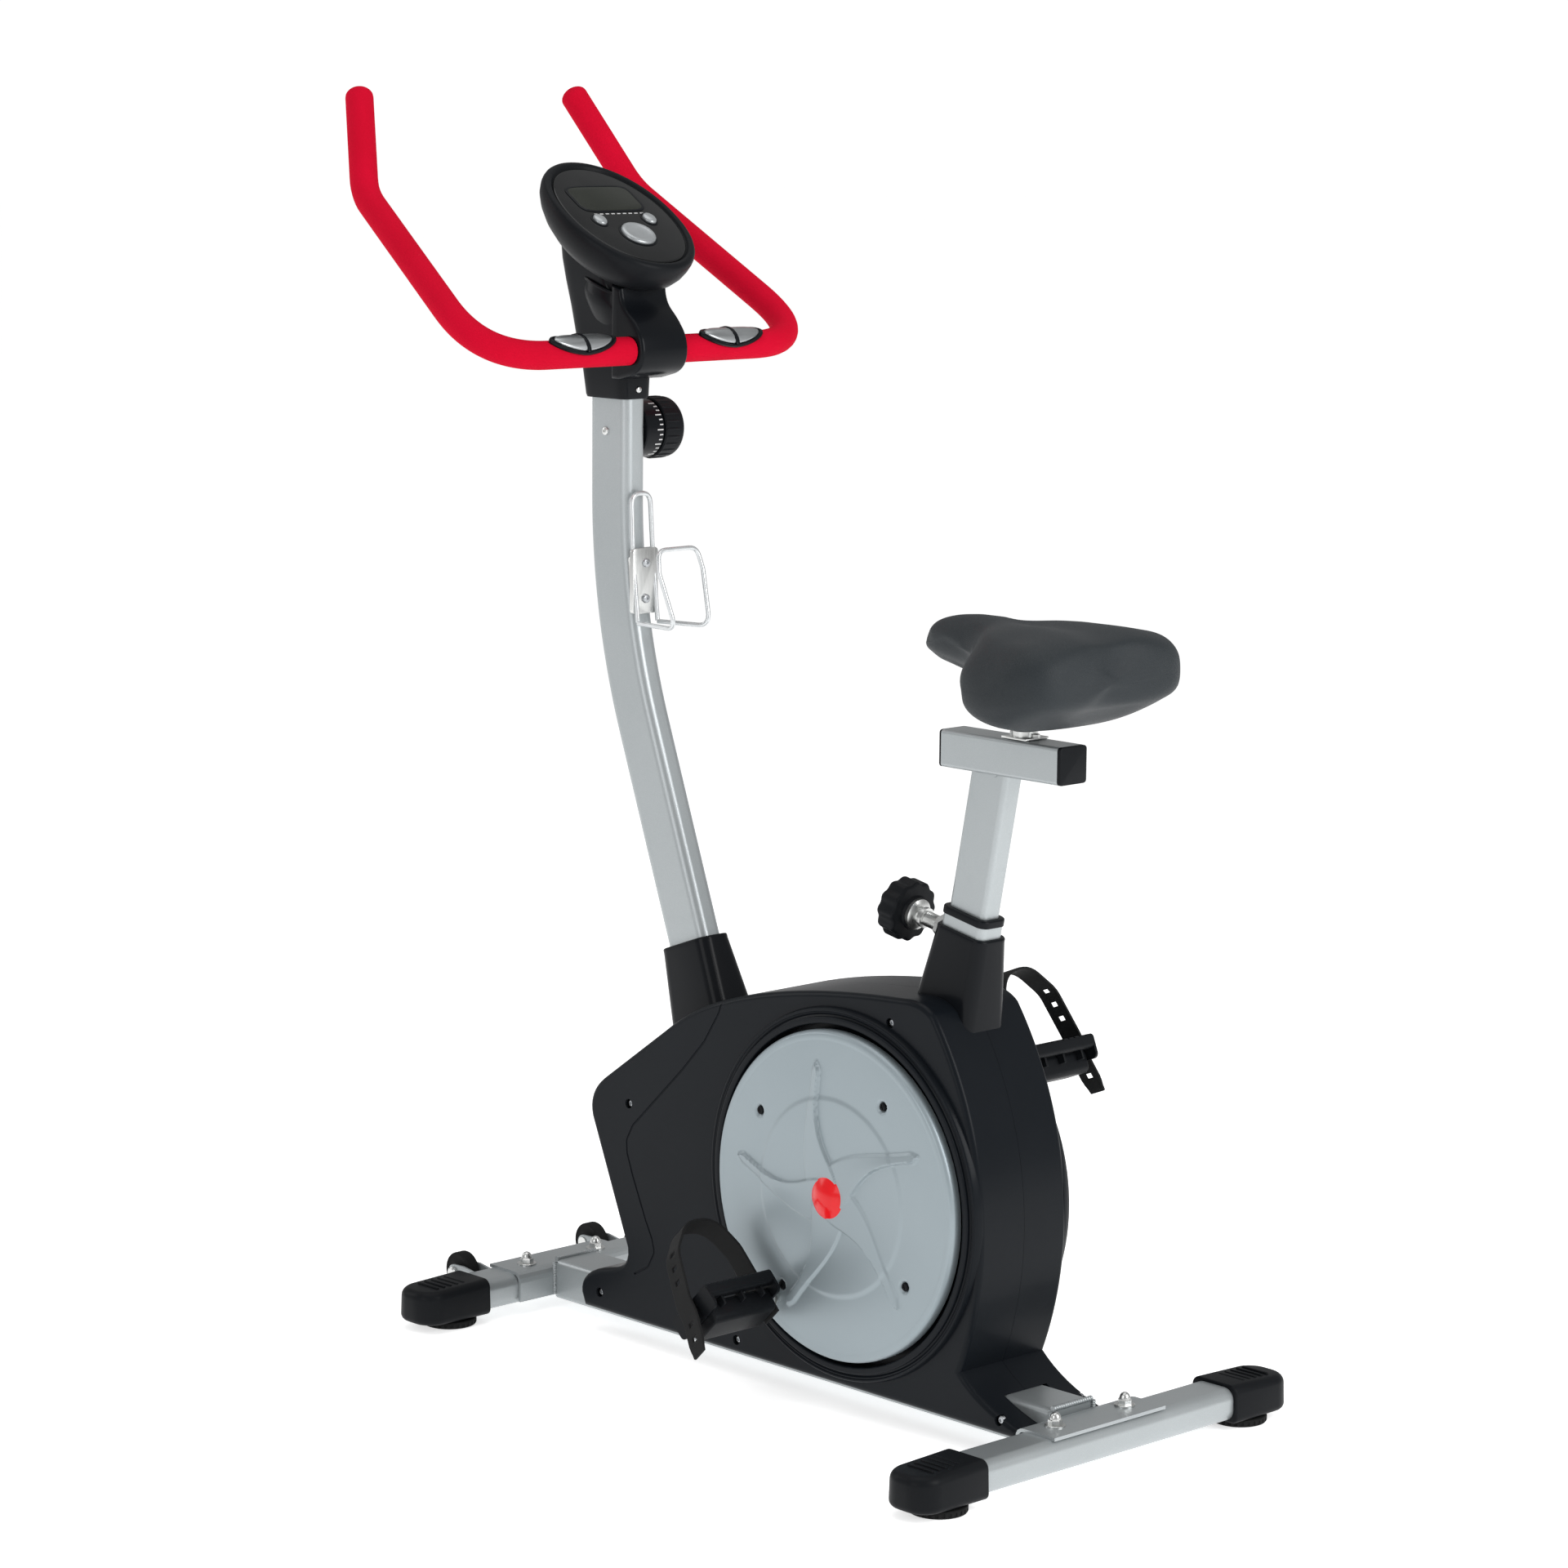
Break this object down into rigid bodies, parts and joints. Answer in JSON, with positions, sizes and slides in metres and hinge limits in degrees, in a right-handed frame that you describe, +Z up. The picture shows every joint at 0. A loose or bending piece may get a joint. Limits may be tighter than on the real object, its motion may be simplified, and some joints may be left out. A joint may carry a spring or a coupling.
{
  "type": "exercise bike",
  "caption": "Upright magnetic exercise bike: flywheel housing with crank discs and strapped pedals, padded saddle on a post, bent mast with console and foam-covered handlebar.",
  "frame": {"origin": "centre of the footprint on the floor, under the four levelling feet", "axes": "+X forward (the way the rider faces), +Y to the rider's left, +Z up"},
  "size_m": [0.9978, 0.534, 1.3199],
  "materials": {
    "silver": "satin metallic paint",
    "black": "satin moulded plastic, fine grain",
    "rubber": "matt",
    "disc": "satin silver-grey",
    "red": "gloss",
    "foam": "matt closed-cell foam",
    "zinc": "bright zinc plated",
    "steel": "plain steel",
    "iron": "turned rim",
    "belt": "ribbed belt",
    "saddle": "matt grained vinyl over foam",
    "glass": "smoked gloss window",
    "button": "satin silver",
    "plate": "satin plated",
    "wire": "bright wire"
  },
  "bodies": {
    "base": {"front_stabiliser": "silver", "rear_stabiliser": "silver", "main_beam": "silver", "front_cradle": "silver", "rear_cradle": "silver", "seat_tube": "silver", "mast_socket": "silver", "mast": "silver", "end_cap_front_left": "black", "end_cap_front_right": "black", "end_cap_rear_left": "black", "end_cap_rear_right": "black", "seat_boot": "black", "mast_boot": "black", "housing_left": "black", "housing_right": "black", "seat_bush": "black", "head_cover": "black", "clamp_cover": "black", "console_body": "black", "tension_base": "black", "drive_belt": "belt", "display_lens": "glass", "bottle_cage": "wire"},
    "levelling_foot_front_left": {"levelling_foot_front_left": "rubber"},
    "levelling_foot_front_right": {"levelling_foot_front_right": "rubber"},
    "levelling_foot_rear_left": {"levelling_foot_rear_left": "rubber"},
    "levelling_foot_rear_right": {"levelling_foot_rear_right": "rubber"},
    "transport_wheel_left": {"transport_wheel_left": "rubber"},
    "transport_wheel_right": {"transport_wheel_right": "rubber"},
    "crank": {"crank_axle": "steel", "drive_pulley": "black", "crank_arm_left": "steel", "crank_arm_right": "steel", "crank_disc_left": "disc", "crank_disc_right": "disc", "hub_cap_left": "red", "hub_cap_right": "red", "pedal_spindle_left": "zinc", "pedal_spindle_right": "zinc"},
    "pedal_left": {"pedal_body_left": "black", "pedal_strap_left": "rubber"},
    "pedal_right": {"pedal_body_right": "black", "pedal_strap_right": "rubber"},
    "flywheel": {"flywheel": "iron"},
    "magnet_bracket": {"magnet_bracket": "zinc"},
    "tension_knob": {"tension_knob": "black"},
    "bars": {"handlebar": "steel", "foam_grip_left": "foam", "foam_grip_right": "foam", "pulse_sensor_left": "plate", "pulse_sensor_right": "plate"},
    "button_left": {"button_left": "button"},
    "button_right": {"button_right": "button"},
    "button_enter": {"button_enter": "button"},
    "seat_post": {"seat_post": "silver", "slider_bar": "silver"},
    "saddle": {"saddle_clamp": "zinc", "saddle": "saddle"},
    "seat_knob": {"seat_knob": "black"}
  },
  "joints": [
    {"name": "level_front_left", "type": "hinge", "parent": "base", "child": "levelling_foot_front_left", "pos_m": [0.336, 0.155, 0.005], "axis": [0, 0, 1], "range_deg": [-180, 180]},
    {"name": "level_front_right", "type": "hinge", "parent": "base", "child": "levelling_foot_front_right", "pos_m": [0.336, -0.155, 0.005], "axis": [0, 0, 1], "range_deg": [-180, 180]},
    {"name": "level_rear_left", "type": "hinge", "parent": "base", "child": "levelling_foot_rear_left", "pos_m": [-0.468, 0.2165, 0.005], "axis": [0, 0, 1], "range_deg": [-180, 180]},
    {"name": "level_rear_right", "type": "hinge", "parent": "base", "child": "levelling_foot_rear_right", "pos_m": [-0.468, -0.2165, 0.005], "axis": [0, 0, 1], "range_deg": [-180, 180]},
    {"name": "transport_roll_left", "type": "hinge", "parent": "base", "child": "transport_wheel_left", "pos_m": [0.388, 0.094, 0.037], "axis": [0, 1, 0], "continuous": true},
    {"name": "transport_roll_right", "type": "hinge", "parent": "base", "child": "transport_wheel_right", "pos_m": [0.388, -0.094, 0.037], "axis": [0, 1, 0], "continuous": true},
    {"name": "crank_spin", "type": "hinge", "parent": "base", "child": "crank", "pos_m": [-0.177, 0, 0.226], "axis": [0, 1, 0], "continuous": true},
    {"name": "pedal_spin_left", "type": "hinge", "parent": "crank", "child": "pedal_left", "pos_m": [-0.09807, 0.146, 0.10675], "axis": [0, 1, 0], "continuous": true},
    {"name": "pedal_spin_right", "type": "hinge", "parent": "crank", "child": "pedal_right", "pos_m": [-0.25593, -0.146, 0.34525], "axis": [0, 1, 0], "continuous": true},
    {"name": "flywheel_spin", "type": "hinge", "parent": "base", "child": "flywheel", "pos_m": [0.076, 0, 0.165], "axis": [0, 1, 0], "continuous": true},
    {"name": "tension_turn", "type": "hinge", "parent": "base", "child": "tension_knob", "pos_m": [0.241, -0.056, 0.968], "axis": [0, 1, 0], "range_deg": [0, 270]},
    {"name": "magnet_swing", "type": "hinge", "parent": "base", "child": "magnet_bracket", "pos_m": [0.06737, -0.0325, 0.26362], "axis": [0, 1, 0], "range_deg": [0, 9]},
    {"name": "bar_tilt", "type": "hinge", "parent": "base", "child": "bars", "pos_m": [0.186, 0, 1.055], "axis": [0, 1, 0], "range_deg": [-15, 15]},
    {"name": "press_left", "type": "slide", "parent": "base", "child": "button_left", "axis": [0.5519, 0, -0.8339], "range_m": [0, 0.0015], "stiffness_N_per_m": 900, "springref_m": -0.0004},
    {"name": "press_right", "type": "slide", "parent": "base", "child": "button_right", "axis": [0.5519, 0, -0.8339], "range_m": [0, 0.0015], "stiffness_N_per_m": 900, "springref_m": -0.0004},
    {"name": "press_enter", "type": "slide", "parent": "base", "child": "button_enter", "axis": [0.5519, 0, -0.8339], "range_m": [0, 0.0015], "stiffness_N_per_m": 900, "springref_m": -0.0004},
    {"name": "seat_height", "type": "slide", "parent": "base", "child": "seat_post", "axis": [-0.1901, 0, 0.9818], "range_m": [-0.09, 0.06]},
    {"name": "saddle_slide", "type": "slide", "parent": "seat_post", "child": "saddle", "axis": [1, 0, 0], "range_m": [-0.02, 0.02]},
    {"name": "knob_pull", "type": "slide", "parent": "base", "child": "seat_knob", "axis": [0.9818, 0, 0.1901], "range_m": [0, 0.008], "stiffness_N_per_m": 1500, "springref_m": -0.003}
  ],
  "couplings": [
    {"joint": "flywheel_spin", "follows": "crank_spin", "ratio": 6},
    {"joint": "magnet_swing", "follows": "tension_turn", "ratio": 0.03}
  ]
}
